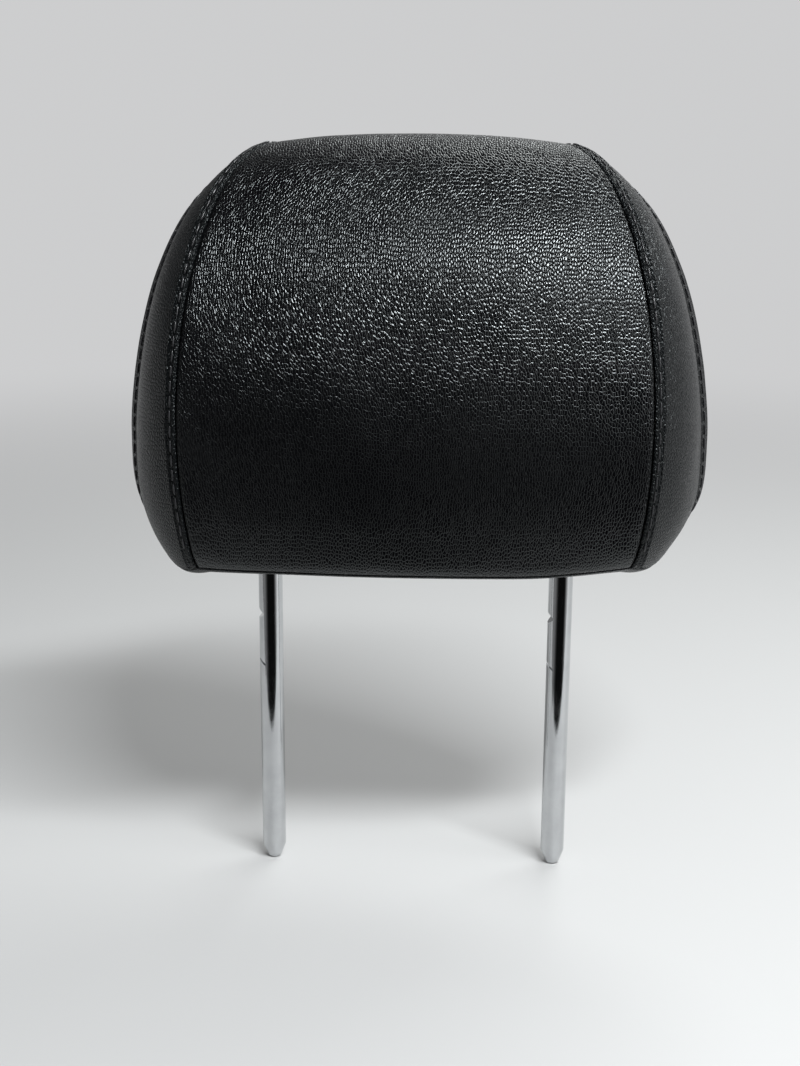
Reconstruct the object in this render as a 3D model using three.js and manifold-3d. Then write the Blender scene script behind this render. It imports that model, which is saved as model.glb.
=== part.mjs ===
// Car headrest: a foam pad in a sewn cover, moulded round a two-part plastic carrier on one bent steel bar.
// Millimetres, +Z up. The front faces -Y and +X is the right of someone looking at the front.
// The origin lies midway between the two post axes, in the plane of the post tips.

import * as THREE from 'three';
import { mergeVertices } from 'three/addons/utils/BufferGeometryUtils.js';
import Module from 'manifold-3d';

const wasm = await Module();
wasm.setup();

// Steel bar
const postSpacing = 145;
const postDiameter = 12;
const exposedLength = 161; // post tip to the underside of the cushion
const barRise = 89; // axis of the crossbar over the underside
const bendRadius = 28;
const tipLength = 7;
const tipDiameter = 7.4;
const notchDepth = 3.1;
const notchHeight = 5.6;
const slotHeight = 1.3;
const slotFall = 2.6;
const upperNotch = 133.4; // heights above the tips
const lowerNotch = 109.4;

// Cushion
const cushionWidth = 289;
const cushionHeight = 206.5;
const frontReach = 52; // post axes to the front face
const rearReach = 62; // post axes to the back
const coverThickness = 2.6;
const allowanceWidth = 6; // folded seam allowance beside a seam
const allowanceRise = 0.9;
const grooveDepth = 2.6; // how far a seam pulls into the foam
const grooveWidth = 2.2;
const grooveEdge = 1.4; // from a seam to where its folded strip starts
const stripStep = 1.2; // width of the strip's outer edge

// Carrier inside the foam
const carrierWidth = 178;
const carrierRise = 19; // lower edge over the underside
const carrierHeight = 116;
const carrierDepth = 31;
const carrierWall = 2.4;
const carrierCorner = 16;
const ribSpacing = 44;
const bossDiameter = 9;
const bossSpacing = 88;
const lowerBoss = 14; // over the carrier's lower edge
const upperBoss = 40;
const ribAboveBar = 18;
const ribBelowBar = 14.4;

// Screws
const screwDiameter = 4;
const headDiameter = 7.4;
const headHeight = 2.2;
const screwLength = 22;
const socketDiameter = 3;

// Closing profiles under the cushion
const profileThickness = 1.5;
const profileTab = 9;
const profileRise = 4.5;
const profileLength = 120;
const profileStandOff = 0.8; // over the inside of the cover

// Clearances
const gap = 0.3; // between pieces that touch
const postClearance = 0.5; // round a post, in the cover and the foam
const foamGap = 0.8; // cover to foam
const foamEase = 1.6; // more room where the seams meet
const holeMargin = 15; // how far a post hole is cut beyond the cover

const postRadius = postDiameter / 2;
const halfWidth = cushionWidth / 2;
const barTop = exposedLength + barRise;
const carrierBottom = exposedLength + carrierRise;
const carrierTop = carrierBottom + carrierHeight;
const sides = [['left', -1], ['right', 1]];

const materials = {
  chrome: new THREE.MeshStandardMaterial({ color: 0xc9ccd0, metalness: 1, roughness: 0.1 }),
  leather: new THREE.MeshStandardMaterial({ color: 0x16171a, metalness: 0, roughness: 0.5 }),
  foam: new THREE.MeshStandardMaterial({ color: 0xcfc8b4, metalness: 0, roughness: 0.95 }),
  plastic: new THREE.MeshStandardMaterial({ color: 0x232527, metalness: 0, roughness: 0.6 }),
  zinc: new THREE.MeshStandardMaterial({ color: 0xa8abae, metalness: 1, roughness: 0.35 }),
};

const headrest = new THREE.Group();

function addPiece(name, shape, material) {
  const geometry = shape instanceof THREE.BufferGeometry ? shape : geometryOf(shape);
  geometry.computeVertexNormals();
  const mesh = new THREE.Mesh(geometry, materials[material]);
  mesh.name = name;
  headrest.add(mesh);
}

// Solids and booleans

function solidOf(geometry) {
  const bare = geometry.clone();
  bare.deleteAttribute('normal');
  bare.deleteAttribute('uv');
  const merged = mergeVertices(bare, 1e-4);
  const corners = merged.index.array;
  const kept = [];
  for (let i = 0; i < corners.length; i += 3) {
    const [a, b, c] = corners.slice(i, i + 3);
    if (a !== b && b !== c && c !== a) kept.push(a, b, c);
  }
  return new wasm.Manifold(new wasm.Mesh({
    numProp: 3,
    vertProperties: new Float32Array(merged.attributes.position.array),
    triVerts: new Uint32Array(kept),
  }));
}

function geometryOf(solid) {
  const mesh = solid.getMesh();
  const geometry = new THREE.BufferGeometry();
  geometry.setAttribute('position', new THREE.BufferAttribute(new Float32Array(mesh.vertProperties), 3));
  geometry.setIndex(new THREE.BufferAttribute(new Uint32Array(mesh.triVerts), 1));
  return geometry;
}

function block(low, high) {
  const size = high.map((value, axis) => value - low[axis]);
  const box = new THREE.BoxGeometry(...size);
  box.translate(...low.map((value, axis) => value + size[axis] / 2));
  return solidOf(box);
}

// A round solid along Y or Z, from one end to the other
function round(radius, from, to, x, other, axis = 'z', facets = 24) {
  const rod = new THREE.CylinderGeometry(radius, radius, to - from, facets);
  const middle = (from + to) / 2;
  if (axis === 'z') {
    rod.rotateX(Math.PI / 2);
    rod.translate(x, other, middle);
  } else {
    rod.translate(x, middle, other);
  }
  return solidOf(rod);
}

// An outline in the YZ plane, drawn out along X
function drawnAlongX(outline, fromX, toX) {
  const shape = new THREE.Shape(outline.map(([y, z]) => new THREE.Vector2(y, z)));
  const bar = new THREE.ExtrudeGeometry(shape, { depth: toX - fromX, bevelEnabled: false });
  const turn = new THREE.Matrix4().makeBasis(
    new THREE.Vector3(0, 1, 0), new THREE.Vector3(0, 0, 1), new THREE.Vector3(1, 0, 0));
  bar.applyMatrix4(turn);
  bar.translate(fromX, 0, 0);
  return solidOf(bar);
}

// An outline in the XZ plane, drawn out along Y
function drawnAlongY(outline, fromY, toY) {
  const settings = { depth: toY - fromY, bevelEnabled: false, curveSegments: 3 };
  const bar = new THREE.ExtrudeGeometry(outline, settings);
  bar.rotateX(Math.PI / 2);
  bar.translate(0, toY, 0);
  return solidOf(bar);
}

// Steel bar

class BarAxis extends THREE.Curve {
  constructor(stations) {
    super();
    this.stations = stations;
  }

  // Every station gets a ring of the bar, so straight runs stay free of needless rings
  getUtoTmapping(u) {
    return u;
  }

  getPoint(t) {
    const place = Math.min(t * (this.stations.length - 1), this.stations.length - 1.000001);
    const index = Math.floor(Math.max(place, 0));
    return this.stations[index].clone().lerp(this.stations[index + 1], place - index);
  }
}

function barStations() {
  const bendSteps = 8;
  const post = postSpacing / 2;
  const stations = [new THREE.Vector3(-post, 0, 0)];
  for (let step = 0; step <= bendSteps; step++) {
    const angle = Math.PI - (Math.PI / 2) * (step / bendSteps);
    const x = bendRadius - post + bendRadius * Math.cos(angle);
    stations.push(new THREE.Vector3(x, 0, barTop - bendRadius + bendRadius * Math.sin(angle)));
  }
  const mirrored = stations.map((point) => new THREE.Vector3(-point.x, 0, point.z)).reverse();
  return [...stations, ...mirrored];
}

function barSolid(radius) {
  const stations = barStations();
  const section = new THREE.Shape();
  section.absarc(0, 0, radius, 0, Math.PI * 2);
  return solidOf(new THREE.ExtrudeGeometry(section, {
    steps: stations.length - 1,
    extrudePath: new BarAxis(stations),
    curveSegments: 10,
  }));
}

// What is turned off a post tip to leave its lead-in cone
function tipCutter(x) {
  const clear = postRadius + 2;
  const profile = [
    new THREE.Vector2(tipDiameter / 2, -1),
    new THREE.Vector2(clear, -1),
    new THREE.Vector2(clear, tipLength),
    new THREE.Vector2(postRadius, tipLength),
    new THREE.Vector2(tipDiameter / 2, 0),
    new THREE.Vector2(tipDiameter / 2, -1),
  ];
  const ring = new THREE.LatheGeometry(profile, 20);
  ring.rotateX(Math.PI / 2);
  ring.translate(x, 0, 0);
  return solidOf(ring);
}

// What is cut out of a post's left side for one height stop, as [depth from the surface, height]
function stopCutter(x, height, outline) {
  const surface = x - postRadius;
  const notch = new THREE.Shape(outline.map(([depth, z]) => new THREE.Vector2(surface + depth, height + z)));
  return drawnAlongY(notch, -postRadius - 1, postRadius + 1);
}

// An open V with its floor just below the middle
const vNotch = [[-0.5, notchHeight / 2], [0, notchHeight / 2], [notchDepth, 0], [0, -notchHeight / 2],
  [-0.5, -notchHeight / 2]];

// A narrow slot that falls towards the middle of the post
const slantedSlot = [[-0.5, slotHeight / 2], [0, slotHeight / 2], [notchDepth, slotHeight / 2 - slotFall],
  [notchDepth, -slotHeight / 2 - slotFall], [-0.5, -slotHeight / 2]];

function stayBar() {
  let bar = barSolid(postRadius);
  for (const [, side] of sides) {
    const x = side * postSpacing / 2;
    bar = bar.subtract(tipCutter(x));
    bar = bar.subtract(stopCutter(x, upperNotch, vNotch));
    bar = bar.subtract(stopCutter(x, lowerNotch, slantedSlot));
  }
  return bar;
}

addPiece('stay_bar', stayBar(), 'chrome');

// Cushion form
// Each line runs from the closure under the cushion, up the front or the back, to the cross seam behind
// the crown. A place is [share of half width, share of the reach before (-) or behind (+) the posts,
// share of the height], and the same place in each list lies on the same row.

const frontSeam = [
  [0.58, 0, 0.002], [0.66, -0.42, 0.006], [0.715, -0.7, 0.031], [0.744, -0.85, 0.136],
  [0.763, -0.9, 0.326], [0.756, -0.81, 0.506], [0.727, -0.56, 0.681], [0.672, -0.22, 0.827],
  [0.598, 0.07, 0.928], [0.51, 0.32, 0.974], [0.42, 0.64, 0.961],
];
const frontMiddle = [
  [0, 0, 0.002], [0, -0.5, 0.008], [0, -0.84, 0.024], [0, -0.965, 0.13], [0, -1, 0.311],
  [0, -0.945, 0.496], [0, -0.72, 0.681], [0, -0.34, 0.851], [0, 0.03, 0.957], [0, 0.33, 1],
  [0, 0.67, 0.984],
];
const rearSeam = [
  [0.58, 0, 0.002], [0.75, 0.11, 0.006], [0.865, 0.21, 0.037], [0.966, 0.28, 0.136], [0.98, 0.29, 0.295],
  [0.948, 0.29, 0.491], [0.876, 0.3, 0.681], [0.765, 0.37, 0.833], [0.645, 0.47, 0.913],
  [0.525, 0.57, 0.954], [0.42, 0.64, 0.961],
];
const rearMiddle = [
  [0, 0, 0.002], [0, 0.45, 0.002], [0, 0.82, 0.024], [0, 0.945, 0.13], [0, 0.99, 0.295], [0, 1, 0.491],
  [0, 0.975, 0.681], [0, 0.92, 0.825], [0, 0.85, 0.918], [0, 0.77, 0.965], [0, 0.67, 0.984],
];

function formPoint([across, along, up]) {
  const reach = along < 0 ? frontReach : rearReach;
  return new THREE.Vector3(across * halfWidth, along * reach, exposedLength + up * cushionHeight);
}

const formLine = (shares) => new THREE.CatmullRomCurve3(shares.map(formPoint));

const lines = {
  frontSeam: formLine(frontSeam),
  frontMiddle: formLine(frontMiddle),
  rearSeam: formLine(rearSeam),
  rearMiddle: formLine(rearMiddle),
};

const formCentre = new THREE.Vector3(0, (rearReach - frontReach) / 2, exposedLength + cushionHeight / 2);
const formHalf = new THREE.Vector3(halfWidth, (rearReach + frontReach) / 2, cushionHeight / 2);

// The direction out of the cushion, from an ellipsoid of its size
function outward(point) {
  return point.clone().sub(formCentre).divide(formHalf).divide(formHalf).normalize();
}

// Where a row's two handles lie, as shares of the way from the middle plane to the seam, flat and swollen
const shoulderReach = [0.78, 1.1];
const middleReach = [0.5, 0.68];
const shoulderTurn = [0.62, 0.45]; // how far the shoulder has come forward or back to the middle's place

// Half of a front or back row, from the seam to the middle plane. Swell pushes its shoulder out sideways
// and fills the row towards the seam.
function rowCurve(seamPoint, middlePoint, swell) {
  const shoulder = seamPoint.clone().lerp(middlePoint, THREE.MathUtils.lerp(...shoulderTurn, swell));
  shoulder.x = seamPoint.x * THREE.MathUtils.lerp(...shoulderReach, swell);
  const handle = middlePoint.clone();
  handle.x = seamPoint.x * THREE.MathUtils.lerp(...middleReach, swell);
  return new THREE.CubicBezierCurve3(seamPoint, shoulder, handle, middlePoint);
}

// The side panel's row, crowned between its two seams
function sideCurve(front, rear) {
  const crown = 0.26;
  const middle = front.clone().lerp(rear, 0.5);
  middle.addScaledVector(outward(middle), crown * front.distanceTo(rear));
  return new THREE.QuadraticBezierCurve3(front, middle, rear);
}

const frontRow = (v) => rowCurve(lines.frontSeam.getPoint(v), lines.frontMiddle.getPoint(v), 0);
const rearSwell = (v) => Math.sqrt(Math.abs(Math.sin(Math.PI * v)));
const rearRow = (v) => rowCurve(lines.rearSeam.getPoint(v), lines.rearMiddle.getPoint(v), rearSwell(v));
const sideRow = (v) => sideCurve(lines.frontSeam.getPoint(v), lines.rearSeam.getPoint(v));

// The hem seam runs all round the bottom edge, along this share of every line. Above it lie the panels,
// and below it the underside.
const hem = 0.2;

const groove = (distance) => -grooveDepth * Math.exp(-((distance / grooveWidth) ** 2) / 2);

// Where seams meet, at the ends of the lines, their grooves and strips fade
const seamFade = (v) => Math.min(1, 3 * Math.sin(Math.PI * v));

// How far the surface stands from the form. Each seam is a groove, and the side that its allowances are
// folded to carries a raised strip as well. The underside has no seam but its hem.
function seamRelief(v, distance, folded) {
  const hemGroove = groove((v - hem) * lines.frontMiddle.getLength());
  if (v < hem) return hemGroove;
  const onStrip = folded && distance > grooveEdge / 2 && distance <= allowanceWidth;
  const strip = onStrip ? allowanceRise : 0;
  return Math.min(hemGroove, seamFade(v) * groove(distance)) + seamFade(v) * strip;
}

const seamStations = [0, grooveEdge, allowanceWidth, allowanceWidth + stripStep];
const wideCells = 7;
const sideCells = 4;

// Distances along a row, with the close ones beside its seams. On a short row they draw together.
function spread(length, before, after, cells) {
  const closeShare = 0.625;
  const shrink = Math.min(1, (closeShare * length) / (before.at(-1) + after.at(-1)));
  const start = before.map((value) => value * shrink);
  const end = after.map((value) => length - value * shrink).reverse();
  const inner = [];
  for (let cell = 1; cell < cells; cell++) {
    inner.push(THREE.MathUtils.lerp(start.at(-1), end[0], cell / cells));
  }
  return [...start, ...inner, ...end];
}

// A point of a panel: on its row, raised or pulled in by the nearest seam, and as deep as the skin lies.
// A row shorter than a millimetre is the panel's pointed end.
function panelPoint(curve, length, distance, relief, depth, edge) {
  const place = THREE.MathUtils.clamp(distance, edge, length - edge) / length;
  const point = length > 1 ? curve.getPointAt(THREE.MathUtils.clamp(place, 0, 1)) : curve.getPoint(0);
  return point.addScaledVector(outward(point), relief - depth);
}

const mirror = (point) => new THREE.Vector3(-point.x, point.y, point.z);

// Rows of points across the front or the back, from the left seam to the right seam
function wideGrid(row, rows, folded, depth, edge) {
  return rows.map((v) => {
    const curve = row(v);
    const length = curve.getLength();
    const half = spread(length, seamStations, [0], wideCells).map((distance) => {
      const relief = seamRelief(v, distance, folded);
      return panelPoint(curve, length, distance, relief, depth(v), distance < length / 2 ? edge : 0);
    });
    return [...half.map(mirror), ...half.slice(0, -1).reverse()];
  });
}

// Rows of points across one side, from the front seam to the rear seam
function sideGrid(side, rows, folded, depth, edge) {
  return rows.map((v) => {
    const curve = sideRow(v);
    const length = curve.getLength();
    const points = spread(length, seamStations, seamStations, sideCells).map((distance) => {
      const front = distance < length / 2;
      const relief = seamRelief(v, front ? distance : length - distance, folded && front);
      return panelPoint(curve, length, distance, relief, depth(v), front ? edge[0] : edge[1]);
    });
    return side < 0 ? points.map(mirror) : points;
  });
}

// Shares along the lines at which the rows lie, close together beside the hem
const rowCount = 15;
const flapRows = 3;
const clear = 0.0006; // what a row keeps off a seam that it runs along
const tipEdge = 0.012; // where a side panel's point ends
const hemSteps = [clear, 0.005, 0.016];
const steps = (count) => Array.from({ length: count }, (_, i) => (i + 1) / (count + 1));
const between = (from, to, count) => steps(count).map((share) => THREE.MathUtils.lerp(from, to, share));
const panelRows = (end) => [
  ...hemSteps.map((step) => hem + step), ...between(hem + hemSteps[2], 1, rowCount), 1 - end];
const undersideRows = [
  clear, ...between(0, hem - hemSteps[2], flapRows), ...hemSteps.map((step) => hem - step).reverse()];
const allRows = [0, ...undersideRows.slice(1, -1), hem, ...panelRows(0).slice(1)];

// One surface from grids of points, each with its faces turned over or not, as points and triangles
function surfaceOf(grids) {
  const points = [];
  const faces = [];
  for (const [grid, reversed] of grids) {
    const start = points.length;
    const columns = grid[0].length;
    points.push(...grid.flat());
    for (let row = 0; row < grid.length - 1; row++) {
      for (let column = 0; column < columns - 1; column++) {
        const a = start + row * columns + column;
        const [b, c, d] = [a + 1, a + columns + 1, a + columns];
        faces.push(...(reversed ? [a, c, b, a, d, c] : [a, b, c, a, c, d]));
      }
    }
  }
  return { points, faces };
}

// The same surface with the points that its grids share made one
function joined({ points, faces }) {
  const first = new Map();
  const same = points.map((point, index) => {
    const key = point.toArray().map((value) => Math.round(value * 1e4)).join();
    if (!first.has(key)) first.set(key, index);
    return first.get(key);
  });
  const kept = [];
  for (let i = 0; i < faces.length; i += 3) {
    const corners = faces.slice(i, i + 3).map((index) => same[index]);
    if (new Set(corners).size === 3) kept.push(...corners);
  }
  return { points, faces: kept };
}

// A closed skin between an outer surface and the inner one with the same faces
function skin(outerGrids, innerGrids) {
  const outer = joined(surfaceOf(outerGrids));
  const inner = surfaceOf(innerGrids);
  const count = outer.points.length;
  const faces = [...outer.faces];
  const edges = new Set();
  for (let i = 0; i < outer.faces.length; i += 3) {
    const [a, b, c] = outer.faces.slice(i, i + 3);
    faces.push(a + count, c + count, b + count);
    for (const [from, to] of [[a, b], [b, c], [c, a]]) edges.add(`${from},${to}`);
  }
  for (const edge of edges) {
    const [from, to] = edge.split(',').map(Number);
    if (edges.has(`${to},${from}`)) continue;
    faces.push(to, from, from + count);
    faces.push(to, from + count, to + count);
  }
  return closedSolid([...outer.points, ...inner.points], faces);
}

// The solid with its faces turned out, whichever way round the grids ran
function closedSolid(points, faces) {
  const geometry = new THREE.BufferGeometry();
  geometry.setFromPoints(points);
  let volume = 0;
  for (let i = 0; i < faces.length; i += 3) {
    const [a, b, c] = faces.slice(i, i + 3).map((index) => points[index]);
    volume += a.dot(b.clone().cross(c));
  }
  geometry.setIndex(volume < 0 ? [...faces].reverse() : faces);
  return solidOf(geometry);
}

// The post holes that the underside and the foam need
function clearOfPosts(solid, from, to) {
  return sides.reduce((cut, [, side]) => (
    cut.subtract(round(postRadius + postClearance, from, to, side * postSpacing / 2, 0))), solid);
}

// Cover panels

// Heights between which a post hole is cut through the cover
const holeFrom = exposedLength - holeMargin;
const holeTo = exposedLength + holeMargin;

const face = () => 0;
const lining = () => coverThickness;
const padFace = (v) => coverThickness + foamGap + foamEase * (1 - seamFade(v));

const panels = {
  cover_front_panel: (depth) => [[wideGrid(frontRow, panelRows(clear), false, depth, gap / 2), false]],
  cover_back_panel: (depth) => [[wideGrid(rearRow, panelRows(clear), true, depth, gap / 2), true]],
  cover_side_left: (depth) => [[sideGrid(-1, panelRows(tipEdge), true, depth, [gap / 2, gap / 2]), true]],
  cover_side_right: (depth) => [[sideGrid(1, panelRows(tipEdge), true, depth, [gap / 2, gap / 2]), false]],
  cover_underside_front: (depth) => [
    [wideGrid(frontRow, undersideRows, false, depth, 0), false],
    [sideGrid(1, undersideRows, false, depth, [0, gap / 2]), false],
    [sideGrid(-1, undersideRows, false, depth, [0, gap / 2]), true],
  ],
  cover_underside_rear: (depth) => [[wideGrid(rearRow, undersideRows, false, depth, gap / 2), true]],
};

for (const [name, grids] of Object.entries(panels)) {
  const panel = skin(grids(face), grids(lining));
  const underside = name.includes('underside');
  addPiece(name, underside ? clearOfPosts(panel, holeFrom, holeTo) : panel, 'leather');
}

// Closing profiles: two hooked strips on the edges of the cover, under the cushion

const profileBase = exposedLength + frontMiddle[0][2] * cushionHeight + coverThickness + profileStandOff;
const hookTop = profileBase + profileRise;
const catchTop = hookTop + gap + profileThickness;

function hookProfile() {
  const edge = -gap / 2;
  return drawnAlongX([
    [-profileTab, profileBase], [edge, profileBase], [edge, hookTop], [edge - profileThickness, hookTop],
    [edge - profileThickness, profileBase + profileThickness], [-profileTab, profileBase + profileThickness],
  ], -profileLength / 2, profileLength / 2);
}

function catchProfile() {
  const edge = gap / 2;
  const lip = -gap / 2 - profileThickness - gap; // face of the lip behind the hook
  const lipEnd = profileBase + profileThickness + gap;
  return drawnAlongX([
    [profileTab, profileBase], [profileTab, profileBase + profileThickness],
    [edge + profileThickness, profileBase + profileThickness], [edge + profileThickness, catchTop],
    [lip - profileThickness, catchTop], [lip - profileThickness, lipEnd], [lip, lipEnd],
    [lip, hookTop + gap], [edge, hookTop + gap], [edge, profileBase],
  ], -profileLength / 2, profileLength / 2);
}

addPiece('closing_hook_strip', hookProfile(), 'plastic');
addPiece('closing_catch_strip', catchProfile(), 'plastic');

// Foam pad: the whole form inside the cover, with room for the carrier, the posts and the closing strips

function foamBody() {
  const { points, faces } = surfaceOf([
    [wideGrid(frontRow, allRows, false, padFace, 0), false],
    [sideGrid(1, allRows, false, padFace, [0, 0]), false],
    [wideGrid(rearRow, allRows, false, padFace, 0), true],
    [sideGrid(-1, allRows, false, padFace, [0, 0]), true],
  ]);
  return closedSolid(points, faces);
}

function foamPad() {
  const trench = profileTab + gap;
  let pad = foamBody().subtract(carrierOutline(gap, -carrierDepth / 2 - gap, carrierDepth / 2 + gap));
  pad = clearOfPosts(pad, holeFrom, carrierBottom + carrierWall);
  const end = profileLength / 2 + gap;
  return pad.subtract(block([-end, -trench, holeFrom], [end, trench, catchTop + gap]));
}

// Carrier: two ribbed half shells that clamp the bar

function carrierOutline(grow, fromY, toY) {
  const x = carrierWidth / 2 + grow;
  const [low, high] = [carrierBottom - grow, carrierTop + grow];
  const corner = carrierCorner + grow;
  const outline = new THREE.Shape();
  outline.moveTo(-x + corner, low);
  outline.lineTo(x - corner, low);
  outline.absarc(x - corner, low + corner, corner, -Math.PI / 2, 0);
  outline.lineTo(x, high - corner);
  outline.absarc(x - corner, high - corner, corner, 0, Math.PI / 2);
  outline.lineTo(-x + corner, high);
  outline.absarc(-x + corner, high - corner, corner, Math.PI / 2, Math.PI);
  outline.lineTo(-x, low + corner);
  outline.absarc(-x + corner, low + corner, corner, Math.PI, Math.PI * 1.5);
  return drawnAlongY(outline, fromY, toY);
}

const bosses = sides.flatMap(([, side]) => [lowerBoss, upperBoss].map((rise) => (
  [side * bossSpacing / 2, carrierBottom + rise])));

function carrierHalf(facing) {
  const parting = facing * gap / 2;
  const face = facing * carrierDepth / 2;
  const inside = face - facing * carrierWall;
  const ordered = (a, b) => [Math.min(a, b), Math.max(a, b)];
  const shell = carrierOutline(0, ...ordered(parting, face));
  const hollow = carrierOutline(-carrierWall, ...ordered(parting - facing, inside));
  const [ribFrom, ribTo] = ordered(parting, face - facing * carrierWall / 2);
  const lowest = carrierBottom + carrierWall / 2;
  const highest = carrierTop - carrierWall / 2;
  let half = shell.subtract(hollow);
  for (const x of [-ribSpacing / 2, ribSpacing / 2]) {
    half = half.add(block([x - carrierWall / 2, ribFrom, lowest], [x + carrierWall / 2, ribTo, highest]));
  }
  const reach = carrierWidth / 2 - carrierWall / 2;
  for (const z of [barTop + ribAboveBar, barTop - ribBelowBar]) {
    half = half.add(block([-reach, ribFrom, z - carrierWall / 2], [reach, ribTo, z + carrierWall / 2]));
  }
  for (const [x, z] of bosses) {
    half = half.add(round(bossDiameter / 2, ribFrom, ribTo, x, z, 'y', 14));
  }
  return half.subtract(barSolid(postRadius + gap));
}

// Screws go in from the back, through the rear boss and into the front one
const headSeat = carrierDepth / 2 - carrierWall;
const screwEnd = headSeat - screwLength;

function screwHole(x, z) {
  const shank = round(screwDiameter / 2 + gap, screwEnd - gap, carrierDepth / 2 + 1, x, z, 'y', 12);
  return shank.add(round(headDiameter / 2 + gap, headSeat, carrierDepth / 2 + 1, x, z, 'y', 12));
}

function screw(x, z) {
  const headFrom = headSeat + gap;
  const shank = round(screwDiameter / 2, screwEnd, headFrom + headHeight / 2, x, z, 'y', 12);
  const headTo = headFrom + headHeight;
  const head = round(headDiameter / 2, headFrom, headTo, x, z, 'y', 16);
  const socket = round(socketDiameter / 2, headTo - headHeight / 2, headTo + 1, x, z, 'y', 6);
  return shank.add(head).subtract(socket);
}

const drilled = (half) => bosses.reduce((cut, [x, z]) => cut.subtract(screwHole(x, z)), half);

addPiece('foam_pad', foamPad(), 'foam');
addPiece('carrier_front_shell', drilled(carrierHalf(-1)), 'plastic');
addPiece('carrier_rear_shell', drilled(carrierHalf(1)), 'plastic');
bosses.forEach(([x, z], index) => {
  addPiece(`carrier_screw_${index + 1}`, screw(x, z), 'zinc');
});

export default headrest;
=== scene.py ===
import math

import bmesh
import bpy
from mathutils import Matrix, Vector, noise
from mathutils.kdtree import KDTree


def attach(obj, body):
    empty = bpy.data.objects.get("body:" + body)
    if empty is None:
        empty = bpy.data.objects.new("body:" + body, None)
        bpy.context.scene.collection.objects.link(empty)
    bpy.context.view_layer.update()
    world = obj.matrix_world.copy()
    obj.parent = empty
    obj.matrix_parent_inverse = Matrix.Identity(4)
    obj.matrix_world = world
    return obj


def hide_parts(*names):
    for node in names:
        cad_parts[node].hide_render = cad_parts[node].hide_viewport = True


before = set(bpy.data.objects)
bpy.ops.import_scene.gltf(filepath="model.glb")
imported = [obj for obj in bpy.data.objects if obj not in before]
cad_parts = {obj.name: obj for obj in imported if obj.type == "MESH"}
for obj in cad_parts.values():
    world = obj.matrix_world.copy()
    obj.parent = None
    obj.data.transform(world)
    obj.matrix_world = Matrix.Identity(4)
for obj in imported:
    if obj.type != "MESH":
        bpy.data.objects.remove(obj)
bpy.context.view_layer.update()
scene = bpy.context.scene
mm = 0.001

# Camera

camera = {
    "place": (0.023, -0.7653, 0.381),
    "pitch": 15.02,  # degrees down
    "yaw": 2.3,  # degrees to the left
    "roll": 0.36,
    "lens": 54.03,
    "sensor": 36,
    "clip": (0.05, 60),
}


def addCamera(values):
    data = bpy.data.cameras.new("camera")
    data.sensor_width = values["sensor"]
    data.lens = values["lens"]
    data.clip_start, data.clip_end = values["clip"]
    eye = bpy.data.objects.new("camera", data)
    scene.collection.objects.link(eye)
    turn = Matrix.Rotation(math.radians(values["yaw"]), 4, "Z")
    turn @= Matrix.Rotation(math.radians(90 - values["pitch"]), 4, "X")
    turn @= Matrix.Rotation(math.radians(values["roll"]), 4, "Z")
    eye.matrix_world = Matrix.Translation(values["place"]) @ turn
    scene.camera = eye


addCamera(camera)
scene.view_settings.view_transform = "Standard"
print("camera ready")

# Materials


def newMaterial(name):
    made = bpy.data.materials.new(name)
    made.use_nodes = True
    tree = made.node_tree
    return made, tree, tree.nodes["Principled BSDF"]


def addNode(tree, kind, inputs=None, **settings):
    made = tree.nodes.new(kind)
    for key, value in settings.items():
        setattr(made, key, value)
    for key, value in (inputs or {}).items():
        if isinstance(value, bpy.types.NodeSocket):
            tree.links.new(value, made.inputs[key])
        else:
            made.inputs[key].default_value = value
    return made


def addRamp(tree, factor, stops):
    made = addNode(tree, "ShaderNodeValToRGB", {"Fac": factor})
    points = made.color_ramp.elements
    while len(points) < len(stops):
        points.new(0.5)
    for point, (place, colour) in zip(points, stops):
        point.position = place
        point.color = (*colour, 1) if len(colour) == 3 else colour
    return made.outputs["Color"]


def grey(value):
    return (value, value, value)


def addNoise(tree, place, scale, detail, roughness=0.5):
    return addNode(tree, "ShaderNodeTexNoise",
                   {"Vector": place, "Scale": scale, "Detail": detail, "Roughness": roughness})


# A value carried from one range to another
def addRange(tree, value, span, target, **settings):
    made = addNode(tree, "ShaderNodeMapRange",
                   {"Value": value, 1: span[0], 2: span[1], 3: target[0], 4: target[1]}, **settings)
    return made.outputs[0]


def addMath(tree, operation, first, second):
    return addNode(tree, "ShaderNodeMath", {0: first, 1: second}, operation=operation).outputs[0]


def addMix(tree, factor, first, second):
    made = addNode(tree, "ShaderNodeMix", {"Factor": factor, 2: first, 3: second}, data_type="FLOAT")
    return made.outputs[0]


def addBump(tree, strength, distance, height):
    return addNode(tree, "ShaderNodeBump",
                   {"Strength": strength, "Distance": distance, "Height": height}).outputs[0]


def shifted(tree, place, field, amount):
    scaled = addNode(tree, "ShaderNodeVectorMath", {0: field.outputs["Color"], 1: grey(amount)},
                     operation="MULTIPLY")
    return addNode(tree, "ShaderNodeVectorMath", {0: place, 1: scaled.outputs[0]}, operation="ADD").outputs[0]


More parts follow.
